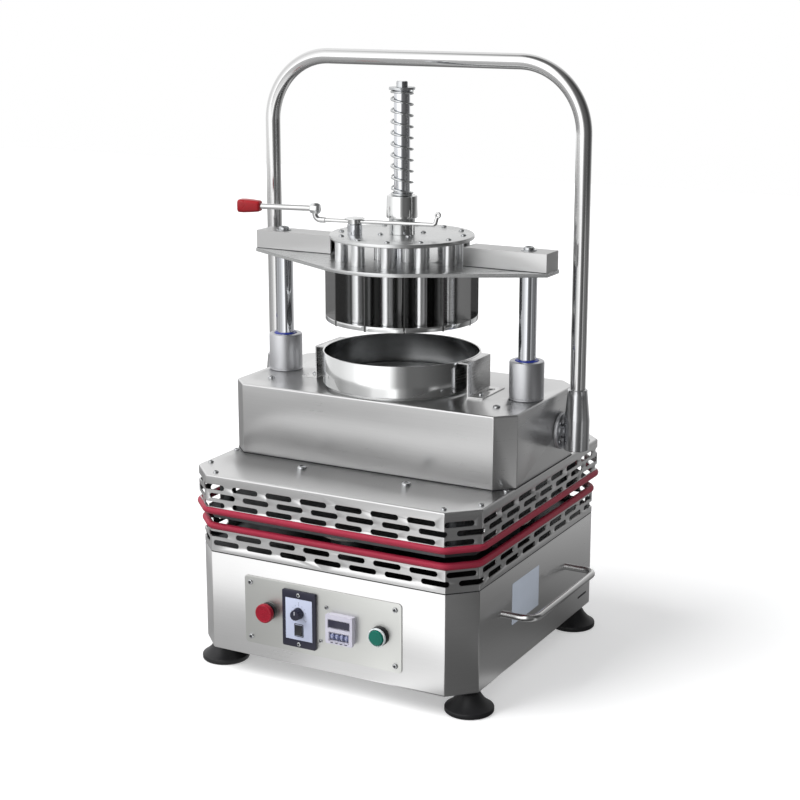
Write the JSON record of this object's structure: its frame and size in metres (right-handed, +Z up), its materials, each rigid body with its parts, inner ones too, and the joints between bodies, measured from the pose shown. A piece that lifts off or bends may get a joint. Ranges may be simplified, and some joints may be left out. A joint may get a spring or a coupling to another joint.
{
  "type": "dough divider rounder",
  "caption": "Bench dough divider and rounder: an arched handle presses a round knife head into a dough ring on a motor-driven orbiting tray over a cabinet.",
  "frame": {"origin": "on the floor under the middle of the cabinet", "axes": "+Z up, -Y the front with the control panel, +X to the right seen from the front"},
  "size_m": [0.62, 0.5605, 0.9885],
  "materials": {
    "brushed_steel": "brushed stainless sheet",
    "deck_steel": "dull mild steel plate",
    "apron_steel": "bright stainless sheet",
    "red_trim": "dark raspberry red edge trim",
    "foot_rubber": "black rubber",
    "motor_paint": "grey motor paint",
    "belt_rubber": "black belt rubber",
    "cast_iron": "machined cast iron",
    "panel_steel": "satin stainless plate",
    "screw_steel": "bright stainless fasteners",
    "black_plastic": "black moulded plastic",
    "timer_plastic": "pale grey moulded plastic",
    "polished_steel": "polished stainless",
    "red_plastic": "glossy red plastic",
    "green_plastic": "glossy green plastic",
    "wheel_plastic": "dark blue-grey plastic",
    "turned_steel": "turned steel",
    "white_nylon": "white nylon",
    "tray_steel": "bright stainless sheet",
    "satin_aluminium": "satin turned aluminium",
    "blue_seal": "blue polyurethane",
    "plate_steel": "fine ground stainless",
    "sheet_steel": "stainless sheet",
    "spring_steel": "bright spring wire",
    "tube_steel": "polished stainless tube",
    "socket_steel": "satin steel",
    "hard_chrome": "hard chrome",
    "beam_steel": "satin stainless box section",
    "knife_steel": "blasted knife steel",
    "pin_steel": "ground steel pins",
    "grip_plastic": "red dipped plastic grip"
  },
  "bodies": {
    "base": {"cabinet_shell": "brushed_steel", "deck_plate": "deck_steel", "lower_apron": "apron_steel", "lower_trim": "red_trim", "rubber_feet": "foot_rubber", "drive_motor": "motor_paint", "drive_belt": "belt_rubber", "bearing_housing": "cast_iron", "control_panel": "panel_steel", "panel_screws": "screw_steel", "button_collars": "black_plastic", "speed_frame": "black_plastic", "timer_case": "timer_plastic", "side_handles": "polished_steel", "cable_gland": "black_plastic"},
    "stop_key": {"stop_button": "red_plastic"},
    "start_key": {"start_button": "green_plastic"},
    "knob": {"speed_knob": "black_plastic"},
    "rocker": {"rocker_switch": "black_plastic"},
    "wheel_1": {"digit_wheel_1": "wheel_plastic"},
    "wheel_2": {"digit_wheel_2": "wheel_plastic"},
    "wheel_3": {"digit_wheel_3": "wheel_plastic"},
    "wheel_4": {"digit_wheel_4": "wheel_plastic"},
    "motor_rotor": {"motor_pulley": "turned_steel"},
    "eccentric": {"main_shaft": "turned_steel", "drive_pulley": "cast_iron"},
    "idler": {"idler_crank": "turned_steel"},
    "carriage": {"carriage_plate": "deck_steel", "slide_pads": "white_nylon", "tray_cover": "tray_steel", "upper_trim": "red_trim", "press_housing": "brushed_steel", "guide_bushes": "satin_aluminium", "bush_seals": "blue_seal", "dough_ring": "polished_steel", "work_plate": "plate_steel", "ring_brackets": "sheet_steel", "cover_screws": "screw_steel", "pivot_flanges": "satin_aluminium", "torsion_springs": "spring_steel"},
    "handle": {"handle_tube": "tube_steel", "handle_sockets": "socket_steel", "crank_shaft": "turned_steel"},
    "head": {"guide_posts": "hard_chrome", "cross_beams": "beam_steel", "yoke_plate": "sheet_steel", "knife_cage": "knife_steel", "centre_shaft": "hard_chrome", "shaft_nut": "screw_steel", "beam_bolts": "screw_steel", "crossheads": "turned_steel", "shaft_spring": "spring_steel"},
    "presser": {"top_disc": "polished_steel", "spring_collar": "polished_steel", "press_pins": "pin_steel", "press_plates": "plate_steel", "disc_screws": "screw_steel", "lever_post": "polished_steel"},
    "lever": {"lock_lever": "polished_steel", "lever_grip": "grip_plastic"}
  },
  "joints": [
    {"name": "stop_press", "type": "slide", "parent": "base", "child": "stop_key", "axis": [0, 1, 0], "range_m": [0, 0.004], "stiffness_N_per_m": 400, "springref_m": -0.004},
    {"name": "start_press", "type": "slide", "parent": "base", "child": "start_key", "axis": [0, 1, 0], "range_m": [0, 0.003], "stiffness_N_per_m": 400, "springref_m": -0.004},
    {"name": "speed_turn", "type": "hinge", "parent": "base", "child": "knob", "pos_m": [-0.0435, -0.262, 0.132], "axis": [0, -1, 0], "range_deg": [-140, 140]},
    {"name": "rocker_tip", "type": "hinge", "parent": "base", "child": "rocker", "pos_m": [-0.0435, -0.2646, 0.103], "axis": [1, 0, 0], "range_deg": [0, 12]},
    {"name": "digit_1_turn", "type": "hinge", "parent": "base", "child": "wheel_1", "pos_m": [0.0214, -0.2685, 0.108], "axis": [1, 0, 0], "continuous": true},
    {"name": "digit_2_turn", "type": "hinge", "parent": "base", "child": "wheel_2", "pos_m": [0.0298, -0.2685, 0.108], "axis": [1, 0, 0], "continuous": true},
    {"name": "digit_3_turn", "type": "hinge", "parent": "base", "child": "wheel_3", "pos_m": [0.0382, -0.2685, 0.108], "axis": [1, 0, 0], "continuous": true},
    {"name": "digit_4_turn", "type": "hinge", "parent": "base", "child": "wheel_4", "pos_m": [0.0466, -0.2685, 0.108], "axis": [1, 0, 0], "continuous": true},
    {"name": "motor_spin", "type": "hinge", "parent": "base", "child": "motor_rotor", "pos_m": [-0.14, 0.118, 0.072], "axis": [0, 0, 1], "continuous": true},
    {"name": "main_spin", "type": "hinge", "parent": "base", "child": "eccentric", "pos_m": [0, 0.008, 0.2], "axis": [0, 0, 1], "continuous": true},
    {"name": "idler_spin", "type": "hinge", "parent": "base", "child": "idler", "pos_m": [0.15, 0.158, 0.2], "axis": [0, 0, 1], "continuous": true},
    {"name": "tray_orbit", "type": "hinge", "parent": "eccentric", "child": "carriage", "pos_m": [0, 0, 0.25], "axis": [0, 0, -1], "continuous": true},
    {"name": "handle_swing", "type": "hinge", "parent": "carriage", "child": "handle", "pos_m": [0, 0.061, 0.391], "axis": [1, 0, 0], "range_deg": [0, 75], "stiffness_Nm_per_rad": 20, "springref_deg": -85.94},
    {"name": "head_slide", "type": "slide", "parent": "carriage", "child": "head", "axis": [0, 0, -1], "range_m": [0, 0.1]},
    {"name": "plates_rise", "type": "slide", "parent": "head", "child": "presser", "axis": [0, 0, 1], "range_m": [0, 0.038], "stiffness_N_per_m": 800, "springref_m": -0.05, "deforming": ["shaft_spring"]},
    {"name": "lever_swing", "type": "hinge", "parent": "presser", "child": "lever", "pos_m": [-0.063, -0.048, 0.723], "axis": [0, 0, -1], "range_deg": [0, 35]}
  ],
  "couplings": [
    {"joint": "main_spin", "follows": "tray_orbit", "ratio": 1},
    {"joint": "idler_spin", "follows": "tray_orbit", "ratio": 1},
    {"joint": "motor_spin", "follows": "tray_orbit", "ratio": 3.5714},
    {"joint": "head_slide", "follows": "handle_swing", "m_per_rad": 0.076394}
  ]
}
